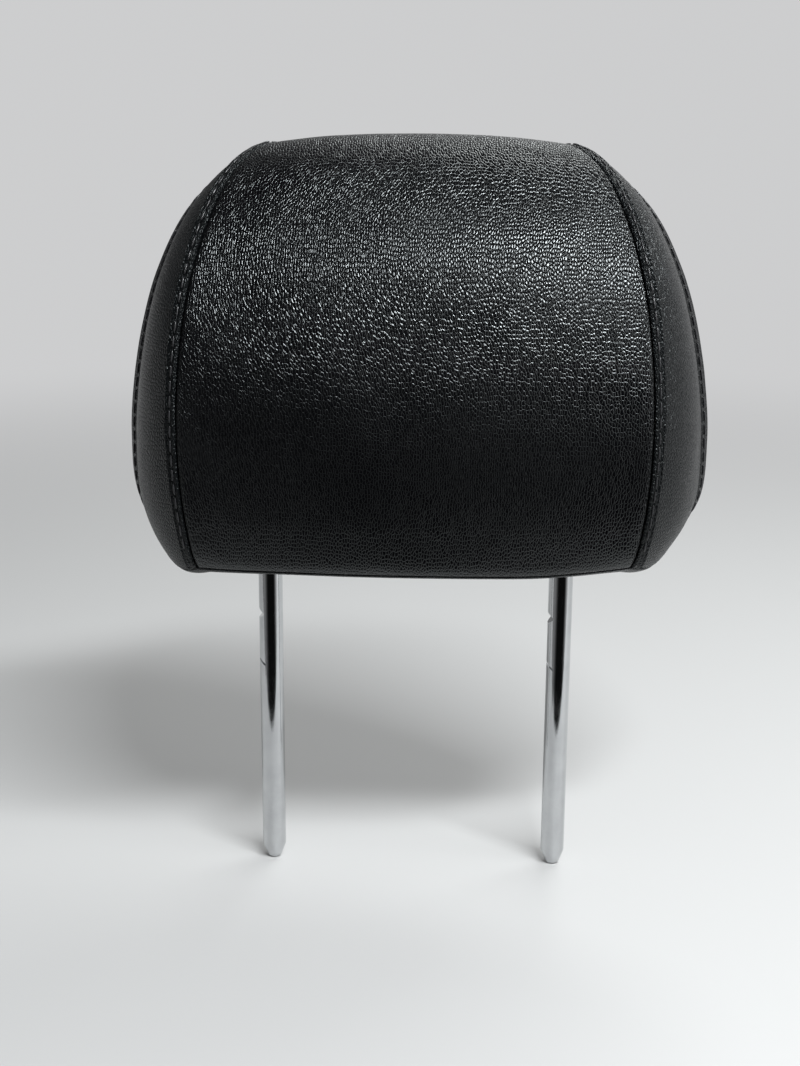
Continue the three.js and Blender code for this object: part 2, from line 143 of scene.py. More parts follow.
# Pebbled leatherette: cells with round tops between narrow creases, laid out along and across each panel,
# with painted shade: a darker colour down in the creases
def leatherMaterial(name, values):
    made, tree, shader = newMaterial(name)
    laid = addNode(tree, "ShaderNodeUVMap", uv_map="leather").outputs[0]
    place = addNode(tree, "ShaderNodeTexCoord").outputs["Object"]
    lean = addNoise(tree, place, values["leanScale"], 1.0)
    drift = addNoise(tree, place, values["warpScale"], 2.0)
    moved = shifted(tree, shifted(tree, laid, lean, values["lean"]), drift, values["warp"])
    stretched = addNode(tree, "ShaderNodeMapping", {"Vector": moved, "Scale": (1.0, values["stretch"], 1.0)})
    cells = addNode(tree, "ShaderNodeTexVoronoi",
                    {"Vector": stretched.outputs[0], "Scale": values["cellScale"],
                     "Randomness": values["randomness"]},
                    feature="DISTANCE_TO_EDGE", voronoi_dimensions="2D").outputs["Distance"]
    pores = addNoise(tree, place, values["poreScale"], 3.0).outputs[0]
    wear = addNoise(tree, place, values["wearScale"], 4.0, 0.6).outputs[0]
    tops = addRamp(tree, cells, [(inward, grey(height)) for inward, height in values["tops"]])
    height = addMix(tree, values["pores"], tops, pores)
    low, high = values["wear"]
    colour = addRamp(tree, wear, [(low, values["dark"]), (high, values["light"])])
    # Painted shade: the colour darkens from each cell's top into the creases, towards the crease colour
    colourAndCreaseShade = addNode(tree, "ShaderNodeMix", {"Factor": tops, 6: (*values["creaseShade"], 1), 7: colour},
                    data_type="RGBA")
    polish, scuff = values["glossSpread"]
    gloss = addRange(tree, wear, (low, high), (values["roughness"] + polish, values["roughness"] + scuff))
    dull = addRange(tree, cells, (0.0, values["creaseWidth"]), (values["creaseRough"], 0.0))
    tree.links.new(colourAndCreaseShade.outputs[2], shader.inputs["Base Color"])
    tree.links.new(addMath(tree, "ADD", gloss, dull), shader.inputs["Roughness"])
    tree.links.new(addBump(tree, values["bump"], values["depth"], height), shader.inputs["Normal"])
    shader.inputs["Specular IOR Level"].default_value = values["specular"]
    shader.inputs["Specular Tint"].default_value = (*values["tint"], 1)
    return made


pebbled = {
    "leanScale": 12.0, "lean": 0.014, "warpScale": 130.0, "warp": 0.0007, "stretch": 0.52, "cellScale": 880.0,
    "randomness": 0.85,
    "tops": [(0.0, 0.0), (0.1, 0.42), (0.24, 0.8), (0.45, 1.0)],  # height of a cell from its edge inwards
    "poreScale": 1500.0, "pores": 0.1, "bump": 1.0, "depth": 0.0002,
    "wearScale": 14.0, "wear": (0.3, 0.7), "glossSpread": (-0.04, 0.05),
    "creaseWidth": 0.12, "creaseRough": 0.12,
    # The crease colour is painted shade in the creases between the cells
    "dark": (0.0013, 0.0013, 0.0018), "light": (0.0026, 0.0026, 0.0033), "creaseShade": (0.0006, 0.0006, 0.0008),
    "roughness": 0.23, "specular": 0.5, "tint": (0.93, 0.99, 1.0),
}
smoother = {
    **pebbled, "depth": 0.0004, "cellScale": 640.0, "stretch": 0.75, "roughness": 0.31, "specular": 0.27,
    # The crease colour is painted shade in the creases between the cells
    "dark": (0.003, 0.0036, 0.0042), "light": (0.005, 0.0058, 0.0066), "creaseShade": (0.002, 0.0024, 0.0028),
}


bright = {
    "hazeScale": 90.0, "haze": (0.35, 0.75), "roughness": (0.05, 0.14),
    "dark": (0.50, 0.51, 0.52), "light": (0.58, 0.59, 0.60),
    "lineScale": 240.0, "lineSquash": 30.0, "bump": 0.03, "depth": 0.0002,
}


def chromeMaterial(name, values):
    made, tree, shader = newMaterial(name)
    place = addNode(tree, "ShaderNodeTexCoord").outputs["Object"]
    haze = addNoise(tree, place, values["hazeScale"], 5.0, 0.65).outputs[0]
    gloss = addRange(tree, haze, values["haze"], values["roughness"])
    tone = addRamp(tree, haze, [(0.3, values["dark"]), (0.7, values["light"])])
    lines = addNode(tree, "ShaderNodeMapping", {"Vector": place, "Scale": (1.0, 1.0, values["lineSquash"])})
    drawn = addNoise(tree, lines.outputs[0], values["lineScale"], 2.0).outputs[0]
    tree.links.new(tone, shader.inputs["Base Color"])
    tree.links.new(gloss, shader.inputs["Roughness"])
    tree.links.new(addBump(tree, values["bump"], values["depth"], drawn), shader.inputs["Normal"])
    shader.inputs["Metallic"].default_value = 1.0
    return made


# Plain finishes of hidden pieces and thread: a mottled colour and a fine bump
def mottledMaterial(name, values):
    made, tree, shader = newMaterial(name)
    place = addNode(tree, "ShaderNodeTexCoord").outputs["Object"]
    spots = addNoise(tree, place, values["scale"], 4.0).outputs[0]
    colour = addRamp(tree, spots, [(0.3, values["dark"]), (0.7, values["light"])])
    tree.links.new(colour, shader.inputs["Base Color"])
    tree.links.new(addBump(tree, values["bump"], values["depth"], spots), shader.inputs["Normal"])
    shader.inputs["Roughness"].default_value = values["roughness"]
    shader.inputs["Metallic"].default_value = values.get("metallic", 0.0)
    return made


materials = {
    "pebbled": leatherMaterial("pebbled_leatherette", pebbled),
    "smoother": leatherMaterial("smooth_leatherette", smoother),
    "steel": chromeMaterial("bright_steel", bright),
    "thread": mottledMaterial("black_thread", {
        "scale": 3000.0, "dark": (0.014, 0.014, 0.015), "light": (0.034, 0.034, 0.037), "bump": 0.4,
        "depth": 0.0001, "roughness": 0.3}),
    "foam": mottledMaterial("moulded_foam", {
        "scale": 900.0, "dark": (0.50, 0.46, 0.36), "light": (0.64, 0.60, 0.50), "bump": 0.6,
        "depth": 0.0004, "roughness": 0.95}),
    "plastic": mottledMaterial("moulded_plastic", {
        "scale": 1200.0, "dark": (0.018, 0.018, 0.019), "light": (0.028, 0.028, 0.03), "bump": 0.2,
        "depth": 0.0002, "roughness": 0.55}),
    "zinc": mottledMaterial("zinc_plate", {
        "scale": 500.0, "dark": (0.48, 0.49, 0.50), "light": (0.62, 0.62, 0.62), "bump": 0.1,
        "depth": 0.0001, "roughness": 0.35, "metallic": 1.0}),
}


# The first word that a node's name holds gives its finish
finishes = {
    "screw": "zinc", "foam": "foam", "stay_bar": "steel", "strip": "plastic", "carrier": "plastic",
    "cover": "smoother",
}


def finishNode(name):
    slots = bpy.data.objects[name].data.materials
    slots.clear()
    slots.append(materials[next(finish for word, finish in finishes.items() if word in name)])


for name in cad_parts:
    finishNode(name)
print("materials ready")

# Cushion form, from the same lines as the solids

cushion = {
    "width": 289,
    "height": 206.5,
    "front": 52,
    "rear": 62,
    "base": 161,
    "hem": 0.2,
    "shoulder": {"front": (0.78, 1.1), "rear": (0.78, 1.16)},
    "middle": (0.5, 0.68),
    "turn": (0.62, 0.45),
    "crown": 0.26,
    "frontSeam": [
        (0.58, 0, 0.002), (0.66, -0.42, 0.006), (0.715, -0.7, 0.031), (0.744, -0.85, 0.136),
        (0.763, -0.9, 0.326), (0.756, -0.81, 0.506), (0.727, -0.56, 0.681), (0.672, -0.22, 0.827),
        (0.598, 0.07, 0.928), (0.51, 0.32, 0.974), (0.42, 0.64, 0.961)],
    "frontMiddle": [
        (0, 0, 0.002), (0, -0.5, 0.008), (0, -0.84, 0.024), (0, -0.965, 0.13), (0, -1, 0.311),
        (0, -0.945, 0.496), (0, -0.72, 0.681), (0, -0.34, 0.851), (0, 0.03, 0.957), (0, 0.33, 1),
        (0, 0.67, 0.984)],
    "rearSeam": [
        (0.58, 0, 0.002), (0.74, 0.08, 0.006), (0.855, 0.14, 0.037), (0.952, 0.19, 0.136),
        (0.966, 0.19, 0.295), (0.934, 0.19, 0.491), (0.863, 0.2, 0.681), (0.755, 0.28, 0.833),
        (0.638, 0.41, 0.913), (0.523, 0.54, 0.954), (0.42, 0.64, 0.961)],
    "rearMiddle": [
        (0, 0, 0.002), (0, 0.45, 0.002), (0, 0.82, 0.024), (0, 0.945, 0.13), (0, 0.99, 0.295),
        (0, 1, 0.491), (0, 0.975, 0.681), (0, 0.92, 0.825), (0, 0.85, 0.918), (0, 0.77, 0.965),
        (0, 0.67, 0.984)],
}

halfSize = Vector((cushion["width"] / 2, (cushion["front"] + cushion["rear"]) / 2, cushion["height"] / 2))
centre = Vector((0, (cushion["rear"] - cushion["front"]) / 2, cushion["base"] + cushion["height"] / 2))


def formPoint(shares):
    across, along, up = shares
    reach = cushion["front"] if along < 0 else cushion["rear"]
    return Vector((across * cushion["width"] / 2, along * reach, cushion["base"] + up * cushion["height"]))


formLines = {key: [formPoint(shares) for shares in cushion[key]]
             for key in ("frontSeam", "frontMiddle", "rearSeam", "rearMiddle")}


def splineStep(p0, p1, p2, p3, t):
    # Centripetal spline through p1 and p2
    gaps = [max((b - a).length ** 0.5, 1e-4) for a, b in ((p0, p1), (p1, p2), (p2, p3))]
    m1 = ((p1 - p0) / gaps[0] - (p2 - p0) / (gaps[0] + gaps[1]) + (p2 - p1) / gaps[1]) * gaps[1]
    m2 = ((p2 - p1) / gaps[1] - (p3 - p1) / (gaps[1] + gaps[2]) + (p3 - p2) / gaps[2]) * gaps[1]
    return (p1 + m1 * t + (3 * (p2 - p1) - 2 * m1 - m2) * t * t + (2 * (p1 - p2) + m1 + m2) * t ** 3)


def onLine(key, v):
    points = formLines[key]
    place = min(max(v, 0.0), 1.0) * (len(points) - 1)
    index = min(int(place), len(points) - 2)
    before = points[index - 1] if index > 0 else 2 * points[0] - points[1]
    after = points[index + 2] if index + 2 < len(points) else 2 * points[-1] - points[-2]
    return splineStep(before, points[index], points[index + 1], after, place - index)


def outward(point):
    away = point - centre
    return Vector([away[axis] / halfSize[axis] ** 2 for axis in range(3)]).normalized()


def mixed(pair, share):
    return pair[0] + (pair[1] - pair[0]) * share


def bezier(handles, t):
    points = list(handles)
    while len(points) > 1:
        points = [a.lerp(b, t) for a, b in zip(points, points[1:])]
    return points[0]


# Half of a front or back row, or one side panel's row, as its handles
def wideHandles(part, v):
    seam = onLine(part + "Seam", v)
    middle = onLine(part + "Middle", v)
    swell = math.sqrt(abs(math.sin(math.pi * v))) if part == "rear" else 0
    shoulder = seam.lerp(middle, mixed(cushion["turn"], swell))
    shoulder.x = seam.x * mixed(cushion["shoulder"][part], swell)
    handle = middle.copy()
    handle.x = seam.x * mixed(cushion["middle"], swell)
    return [seam, shoulder, handle, middle]


def sideHandles(v):
    front = onLine("frontSeam", v)
    rear = onLine("rearSeam", v)
    middle = front.lerp(rear, 0.5)
    middle += outward(middle) * (cushion["crown"] * (front - rear).length)
    return [front, middle, rear]


# A row measured out by length
class Row:
    def __init__(self, handles, steps=48):
        self.points = [bezier(handles, step / steps) for step in range(steps + 1)]
        self.reached = [0.0]
        for a, b in zip(self.points, self.points[1:]):
            self.reached.append(self.reached[-1] + (b - a).length)
        self.length = self.reached[-1]

    def at(self, distance):
        low, high = 0, len(self.reached) - 1
        while high - low > 1:
            half = (low + high) // 2
            if self.reached[half] > distance:
                high = half
            else:
                low = half
        span = max(self.reached[high] - self.reached[low], 1e-6)
        return self.points[low].lerp(self.points[high], min(max((distance - self.reached[low]) / span, 0), 1))


rows = {}


def rowAt(part, v):
    key = (part, round(v, 6))
    if key not in rows:
        rows[key] = Row(sideHandles(v) if part == "side" else wideHandles(part, v))
    return rows[key]


# Seams

seams = {
    "pitch": 6.8,  # stitch to stitch
    "inset": 2.6,  # stitch row to the seam
    "allowance": 6.0,
    "rise": 0.45,
    "edgeRise": 0.6,  # extra height where the folded edge ends
    "roll": 2.7,  # radius with which a panel turns into a seam
    "stripRoll": 1.1,
    "pull": 0.6,  # how deep a stitch pulls the cover in
    "hemRoll": 2.0,
    "fade": 3,  # how fast a seam's relief comes in from its ends
}
strip = {
    "wander": 0.35,  # how far the folded edge strays
    "wanderScale": 0.06,
    "heightWander": 0.35,
    "heightScale": 0.05,
    "start": 0.2,  # where the strip begins to rise
    "slope": 1.3,
    "edgeBack": 0.35,  # the high line lies this far inside the folded edge
    "edgeWidth": 0.55,
    "drop": (0.4, 0.5),  # past the folded edge, and how long the fall is
    "pullShare": (0.55, 0.45),  # under a stitch, and more between two
    "pullWidth": 0.75,
    "puff": 0.18,
    "puffWidth": 1.6,
}
pucker = {"depth": 0.16, "place": 2.0, "width": 1.8}  # in the front panel, beside each stitch


def rolled(distance, radius):
    if distance >= radius:
        return 0.0
    inner = radius - max(distance, 0.0)
    return -(radius - math.sqrt(max(radius * radius - inner * inner, 0.0)))


def seamFade(v):
    return min(1.0, seams["fade"] * math.sin(math.pi * min(max(v, 0.0), 1.0)))


def wobble(point, scale, seed):
    return noise.noise(point * scale + Vector((seed, seed * 0.37, 0)))


# Lengths along the seams, so that a stitch has the same place for the relief and for its thread
def seamLength(key, steps=400):
    table = [0.0]
    previous = onLine(key, 0)
    for step in range(1, steps + 1):
        point = onLine(key, step / steps)
        table.append(table[-1] + (point - previous).length)
        previous = point
    return table


lengths = {key: seamLength(key) for key in formLines}


def lengthTo(key, v):
    table = lengths[key]
    place = min(max(v, 0.0), 1.0) * (len(table) - 1)
    index = min(int(place), len(table) - 2)
    return mixed((table[index], table[index + 1]), place - index)


def shareAt(key, length):
    table = lengths[key]
    for index in range(len(table) - 1):
        if table[index + 1] >= length:
            step = max(table[index + 1] - table[index], 1e-9)
            return (index + (length - table[index]) / step) / (len(table) - 1)
    return 1.0


def bell(distance, width):
    return math.exp(-(distance / width) ** 2)


# 1 between two stitches and 0 in the middle of one
def betweenStitches(key, v):
    return 0.5 + 0.5 * math.cos(2 * math.pi * (lengthTo(key, v) / seams["pitch"]))


# How far a folded strip beside a seam stands up, with its stitches pulling it in
def stripRelief(key, v, distance, point):
    edge = seams["allowance"] + strip["wander"] * wobble(point, strip["wanderScale"], 3)
    height = seams["rise"] * (1 + strip["heightWander"] * wobble(point, strip["heightScale"], 9))
    rise = height * min(1.0, max(0.0, (distance - strip["start"]) / strip["slope"]))
    rise += seams["edgeRise"] * bell(distance - edge + strip["edgeBack"], strip["edgeWidth"])
    beyond, fall = strip["drop"]
    rise *= min(1.0, max(0.0, (edge + beyond - distance) / fall))
    between = betweenStitches(key, v)
    under, more = strip["pullShare"]
    pull = seams["pull"] * (under + more * between) * bell(distance - seams["inset"], strip["pullWidth"])
    puff = strip["puff"] * between * bell(distance, strip["puffWidth"])
    return seamFade(v) * (rise - pull - puff)


def nearestCrossing(v):
    length = lengths["frontMiddle"][-1]
    hemDistance = abs(v - cushion["hem"]) * length
    return min(hemDistance, (1 - v) * length) if v > cushion["hem"] else hemDistance


def relief(part, v, distance, point, other):
    total = rolled(nearestCrossing(v), seams["hemRoll"])
    if v < cushion["hem"]:
        return total
    fade = seamFade(v)
    beside = rolled(distance, seams["roll" if part == "front" else "stripRoll"])
    total = min(total, min(beside, rolled(other, seams["roll"])) * fade)
    if part == "side":
        return total + stripRelief("frontSeam", v, distance, point)
    if part == "rear":
        return total + stripRelief("rearSeam", v, distance, point)
    depth = pucker["depth"] * betweenStitches("frontSeam", v) * fade
    return total - depth * bell(distance - pucker["place"], pucker["width"])


# Panels

panelCells = {
    "close": [0.0, 0.08, 0.2, 0.38, 0.62, 0.95, 1.35, 1.8, 2.2, 2.6, 3.0, 3.45, 4.0, 4.6, 5.1, 5.5, 5.85, 6.2,
              6.6, 7.2, 8.2],  # grid lines beside a seam
    "wide": 46,
    "side": 12,
    "rows": 300,
    "undersideRows": 46,
    "crossing": [0.0, 0.0003, 0.0007, 0.0013, 0.002, 0.003, 0.0042, 0.0056, 0.0072],  # beside the hem
    "closeShare": 0.7,  # the most of a row that those lines may take
    "thickness": 2.2,
    "seamGap": 0.12,
    "sideEnd": 0.982,
    "merge": 0.004,
    "fill": 0.9,
}


def spread(length, before, after, cells):
    taken = before[-1] + (after[-1] if after else 0)
    shrink = min(1.0, panelCells["closeShare"] * length / taken)
    start = [value * shrink for value in before]
    end = [length - value * shrink for value in reversed(after)] or [length]
    return start + [mixed((start[-1], end[0]), cell / cells) for cell in range(1, cells)] + end


def panelRows():
    first = [cushion["hem"] + step for step in panelCells["crossing"]]
    last = [1 - step for step in reversed(panelCells["crossing"])]
    count = panelCells["rows"]
    return first + [mixed((first[-1], last[0]), index / count) for index in range(1, count)] + last


def undersideRows():
    last = [cushion["hem"] - step for step in reversed(panelCells["crossing"])]
    count = panelCells["undersideRows"]
    return [mixed((0.0, last[0]), index / count) for index in range(count)] + last


# A grid laid out over given rows of points, with its lengths along and across kept for the grain
def gridOf(pointRows):
    made = bmesh.new()
    across, down = len(pointRows[0]), len(pointRows)
    bmesh.ops.create_grid(made, x_segments=across - 1, y_segments=down - 1, size=0.5)
    order = sorted(made.verts, key=lambda vert: (round((vert.co.y + 0.5) * (down - 1)), vert.co.x))
    laid = {}
    middle = across // 2
    along = 0.0
    for index, row in enumerate(pointRows):
        if index:
            along += (row[middle] - pointRows[index - 1][middle]).length
        reached = [0.0]
        for a, b in zip(row, row[1:]):
            reached.append(reached[-1] + (b - a).length)
        for vert, point, length in zip(order[index * across:], row, reached):
            laid[vert] = ((length - reached[middle]) * mm, along * mm)
            vert.co = point * mm
    grain = made.loops.layers.uv.new("leather")
    for face in made.faces:
        for loop in face.loops:
            loop[grain].uv = laid[loop.vert]
    return made


def mirrored(point):
    return Vector((-point.x, point.y, point.z))


def joinGrids(grids, distance):
    whole = bmesh.new()
    for pointRows in grids:
        piece = gridOf(pointRows)
        mesh = bpy.data.meshes.new("part")
        piece.to_mesh(mesh)
        piece.free()
        whole.from_mesh(mesh)
        bpy.data.meshes.remove(mesh)
    bmesh.ops.remove_doubles(whole, verts=whole.verts, dist=distance * mm)
    bmesh.ops.recalc_face_normals(whole, faces=whole.faces)
    return whole


print("form ready")


# Swelling: the closed form, a little slack, is blown up as cloth that its seams hold

swelling = {
    "voxel": 5.0,
    "slack": 1.2,  # how much smaller the form starts
    "pressure": 4.0,
    "frames": 20,
    "cap": 3.5,
    "seamHold": 9.0,  # within this of a seam the cloth is held
    "underside": 0.4,  # share of the swelling under the hem
    "rows": 44,
    "cells": 14,
    "merge": 0.4,
    "seamSteps": 120,
    "hemSteps": 30,
    "nearest": 10,  # points of the cloth that one point of a panel follows
    "spread": 0.9,  # their reach in voxels
    "settle": 0.35,  # share of the slack that stays
}
fabric = {
    "quality": 6,
    "mass": 0.25,
    "tension_stiffness": 18,
    "compression_stiffness": 12,
    "shear_stiffness": 6,
    "bending_stiffness": 0.6,
    "use_pressure": True,
    "uniform_pressure_force": swelling["pressure"],
    "vertex_group_mass": "held",
}


def plainRow(part, v, cells, side=1):
    row = rowAt(part, v)
    points = [row.at(row.length * cell / cells) for cell in range(cells + 1)]
    lowered = [point - outward(point) * swelling["slack"] for point in points]
    return lowered if side > 0 else [mirrored(point) for point in lowered]


def closedForm():
    shares = [index / swelling["rows"] for index in range(swelling["rows"] + 1)]
    cells = swelling["cells"]
    parts = []
    for part in ("front", "rear"):
        parts.append([plainRow(part, v, cells, -1) + plainRow(part, v, cells)[-2::-1] for v in shares])
    for side in (-1, 1):
        parts.append([plainRow("side", v, cells, side) for v in shares])
    whole = joinGrids(parts, swelling["merge"])
    mesh = bpy.data.meshes.new("cushion_form")
    whole.to_mesh(mesh)
    whole.free()
    made = bpy.data.objects.new("cushion_form", mesh)
    scene.collection.objects.link(made)
    return made


def evaluatedMesh(thing):
    graph = bpy.context.evaluated_depsgraph_get()
    return bpy.data.meshes.new_from_object(thing.evaluated_get(graph), depsgraph=graph)


def treeOf(points):
    tree = KDTree(len(points))
    for index, point in enumerate(points):
        tree.insert(point, index)
    tree.balance()
    return tree


def swollen():
    form = closedForm()
    remesh = form.modifiers.new("remesh", "REMESH")
    remesh.mode = "VOXEL"
    remesh.voxel_size = swelling["voxel"] * mm
    form.data = evaluatedMesh(form)
    form.modifiers.clear()
    before = [vert.co.copy() for vert in form.data.vertices]

    steps = swelling["seamSteps"]
    seamPoints = [onLine(key, index / steps) * mm
                  for key in ("frontSeam", "rearSeam") for index in range(steps + 1)]
    seamPoints += [mirrored(point) for point in seamPoints]
    steps = swelling["hemSteps"]
    for part in ("front", "rear", "side"):
        row = rowAt(part, cushion["hem"])
        hemLine = [row.at(row.length * index / steps) * mm for index in range(steps + 1)]
        seamPoints += hemLine + [mirrored(point) for point in hemLine]
    tree = treeOf(seamPoints)
    held = form.vertex_groups.new(name="held")
    for index, point in enumerate(before):
        near = tree.find(point)[2] / (swelling["seamHold"] * mm)
        if near < 1:
            held.add([index], (1 - near) ** 0.5, "REPLACE")

    cloth = form.modifiers.new("cloth", "CLOTH")
    for key, value in fabric.items():
        setattr(cloth.settings, key, value)
    cloth.settings.effector_weights.gravity = 0
    cloth.collision_settings.use_collision = False
    cloth.point_cache.frame_start = 1
    cloth.point_cache.frame_end = swelling["frames"]
    for step in range(1, swelling["frames"] + 1):
        scene.frame_set(step)
    blown = evaluatedMesh(form)
    cap = swelling["cap"] * mm
    moves = [vert.co - start for start, vert in zip(before, blown.vertices)]
    moves = [move if move.length <= cap else move * (cap / move.length) for move in moves]
    scene.frame_set(1)
    bpy.data.meshes.remove(blown)
    bpy.data.objects.remove(form)
    return before, moves


class Swelling:
    def __init__(self):
        self.tree = None
        places, self.moves = swollen()
        self.tree = treeOf(places)
        reach = sum(move.length for move in self.moves) / len(self.moves)
        print(f"cloth of {len(places)} points swelled by {reach / mm:.2f} mm on average")

    # How far the surface moves out at a point, in millimetres
    def at(self, point):
        if self.tree is None:
            return 0.0
        away = outward(point)
        total = weights = 0.0
        for _, index, distance in self.tree.find_n(point * mm, swelling["nearest"]):
            weight = bell(distance, swelling["spread"] * swelling["voxel"] * mm)
            total += weight * self.moves[index].dot(away)
            weights += weight
        return total / max(weights, 1e-6) / mm - swelling["slack"] * swelling["settle"]


cloth = Swelling()
print("cushion swollen")

# Soft unevenness of a stuffed cover
unevenness = {"broad": 0.55, "broadScale": 0.017, "close": 0.16, "closeScale": 0.06, "fade": 14.0}


def smoothStep(share):
    return 1.0 if share >= 1 else share * share * (3 - 2 * share)


def uneven(point):
    broad = unevenness["broad"] * wobble(point, unevenness["broadScale"], 21)
    return broad + unevenness["close"] * wobble(point, unevenness["closeScale"], 5)


# The stuffing sits a little unevenly in the two lower corners
corners = {
    "from": 50.0, "to": 125.0, "low": 166.0, "high": 215.0, "falloff": 1.5, "right": 3.4, "left": -1.6,
}


def settled(point):
    out = (abs(point.x) - corners["from"]) / (corners["to"] - corners["from"])
    down = (corners["high"] - point.z) / (corners["high"] - corners["low"])
    share = min(max(out, 0.0), 1.0) * min(max(down, 0.0), 1.0) ** corners["falloff"]
    lift = corners["right"] if point.x > 0 else corners["left"]
    return point + Vector((0, 0, lift * share * (3 - 2 * share) * share))


# A place on the finished cover: on a part's row, at a distance from its first seam, right or left
def coverPoint(part, v, distance, side=1):
    row = rowAt(part, v)
    gap = panelCells["seamGap"]
    first = 0 if v < cushion["hem"] and part != "rear" else gap  # the underside has no front seam
    point = row.at(min(max(distance, first), row.length - gap if part == "side" else row.length))
    if side < 0:
        point = mirrored(point)
    other = row.length - distance if part == "side" else math.inf
    fade = smoothStep(min(distance, other, nearestCrossing(v)) / unevenness["fade"])
    if v < cushion["hem"]:
        fade *= swelling["underside"]
    height = relief(part, v, distance, point, other)
    point = settled(point)
    if fade > 0:
        height += fade * (cloth.at(point) + uneven(point))
    return point + outward(point) * height


def panelRow(part, v, cells, side=1):
    row = rowAt(part, v)
    close = panelCells["close"]
    distances = spread(row.length, close, close if part == "side" else [], cells)
    return [coverPoint(part, v, distance, side) for distance in distances]


def wideGrid(part, shares):
    cells = panelCells["wide"]
    return [panelRow(part, v, cells, -1) + panelRow(part, v, cells)[-2::-1] for v in shares]


def sideGrid(shares, side):
    return [panelRow("side", v, panelCells["side"], side) for v in shares]


def smoothFaces(mesh):
    for face in mesh.polygons:
        face.use_smooth = True


def addPiece(name, made, material, slot, *nodes):
    mesh = bpy.data.meshes.new(name)
    made.to_mesh(mesh)
    made.free()
    smoothFaces(mesh)
    mesh.materials.append(materials[material])
    piece = bpy.data.objects.new(name, mesh)
    scene.collection.objects.link(piece)
    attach(piece, "root")
    if nodes:
        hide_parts(*nodes)
    print(f"{name}: {len(mesh.polygons)} faces")
    return piece


def withoutCuts(piece, cutters):
    for cutter in cutters:
        cut = piece.modifiers.new("cut", "BOOLEAN")
        cut.operation = "DIFFERENCE"
        cut.solver = "EXACT"
        cut.object = cutter
    mesh = evaluatedMesh(piece)
    piece.modifiers.clear()
    old = piece.data
    piece.data = mesh
    mesh.name = old.name
    bpy.data.meshes.remove(old)
    for cutter in cutters:
        bpy.data.objects.remove(cutter)


def toolOf(made):
    mesh = bpy.data.meshes.new("tool")
    made.to_mesh(mesh)
    made.free()
    tool = bpy.data.objects.new("tool", mesh)
    scene.collection.objects.link(tool)
    return tool


# A closed skin: the outer surface, and an inner one a cover's thickness below it
def addPanel(name, grids, material, slot, node):
    made = joinGrids(grids, panelCells["merge"])
    lined = bmesh.ops.extrude_face_region(made, geom=made.faces[:], use_keep_orig=True)["geom"]
    for vert in (item for item in lined if isinstance(item, bmesh.types.BMVert)):
        vert.co -= outward(vert.co / mm) * (panelCells["thickness"] * mm)
    bmesh.ops.recalc_face_normals(made, faces=made.faces)
    panel = addPiece(name, made, material, slot, node)
    return panel


sides = {"left": -1, "right": 1}
shares = panelRows()
sideShares = [v for v in shares if v < panelCells["sideEnd"]]
lower = undersideRows()
addPanel("front_panel", [wideGrid("front", shares)], "pebbled", "cover", "cover_front_panel")
addPanel("back_panel", [wideGrid("rear", shares)], "pebbled", "cover", "cover_back_panel")
for label, side in sides.items():
    addPanel(f"{label}_side_panel", [sideGrid(sideShares, side)], "smoother", "side_cover",
             f"cover_side_{label}")
undersides = [
    addPanel("underside_front", [wideGrid("front", lower), sideGrid(lower, -1), sideGrid(lower, 1)],
             "smoother", "side_cover", "cover_underside_front"),
    addPanel("underside_rear", [wideGrid("rear", lower)], "smoother", "side_cover", "cover_underside_rear"),
]
print("panels ready")

# Foam, which gives way under the seams: the solid's form with its outer faces set further in

foam = {"inset": 4.5, "facing": 0.25, "merge": 0.01}


def addFoam():
    made = bmesh.new()
    made.from_mesh(bpy.data.objects["foam_pad"].data)
    bmesh.ops.remove_doubles(made, verts=made.verts, dist=foam["merge"] * mm)
    made.normal_update()
    for vert in made.verts:
        away = outward(vert.co / mm)
        if vert.normal.dot(away) > foam["facing"]:
            vert.co -= away * (foam["inset"] * mm)
    addPiece("foam_pad_inside", made, "foam", "foam", "foam_pad")


addFoam()

# Thread: one plump stitch after another, each let into the strip beside its seam

thread = {
    "length": 5.6,
    "radius": 0.5,
    "segments": (6, 8),
    "sink": 0.05,
    "first": 1.5,  # stitches from the hem to the first one
    "last": 0.965,
    "span": (0.15, 0.5, 0.85),  # a stitch's ends and middle, in pitches
    "lean": 0.06,
    "leanScale": 0.9,
}


def addStitches(name, part, key, side):
    made = bmesh.new()
    start = lengthTo(key, cushion["hem"]) / seams["pitch"]
    end = lengthTo(key, thread["last"]) / seams["pitch"]
    for index in range(math.ceil(start + thread["first"] - 0.5), int(end)):
        stations = [shareAt(key, (index + offset) * seams["pitch"]) for offset in thread["span"]]
        first, middle, last = [coverPoint(part, v, seams["inset"], side) for v in stations]
        along = (last - first).normalized()
        away = outward(middle)
        away = (away - along * away.dot(along)).normalized()
        across = away.cross(along)
        half, radius = thread["length"] / 2, thread["radius"]
        middle += away * (radius - thread["sink"])
        lean = thread["lean"] * wobble(middle, thread["leanScale"], 2)
        turned = (along + across * lean).normalized()
        matrix = Matrix((turned * half, across * radius, away * radius)).transposed().to_4x4()
        matrix.translation = middle
        around, lengthwise = thread["segments"]
        bmesh.ops.create_uvsphere(made, u_segments=around, v_segments=lengthwise, radius=1.0,
                                  matrix=Matrix.Scale(mm, 4) @ matrix @ Matrix.Rotation(math.pi / 2, 4, "Y"))
    bmesh.ops.recalc_face_normals(made, faces=made.faces)
    addPiece(name, made, "thread", "side_cover")


for label, side in sides.items():
    addStitches(f"{label}_front_stitches", "side", "frontSeam", side)
    addStitches(f"{label}_rear_stitches", "rear", "rearSeam", side)
print("stitches ready")

# Stay bar

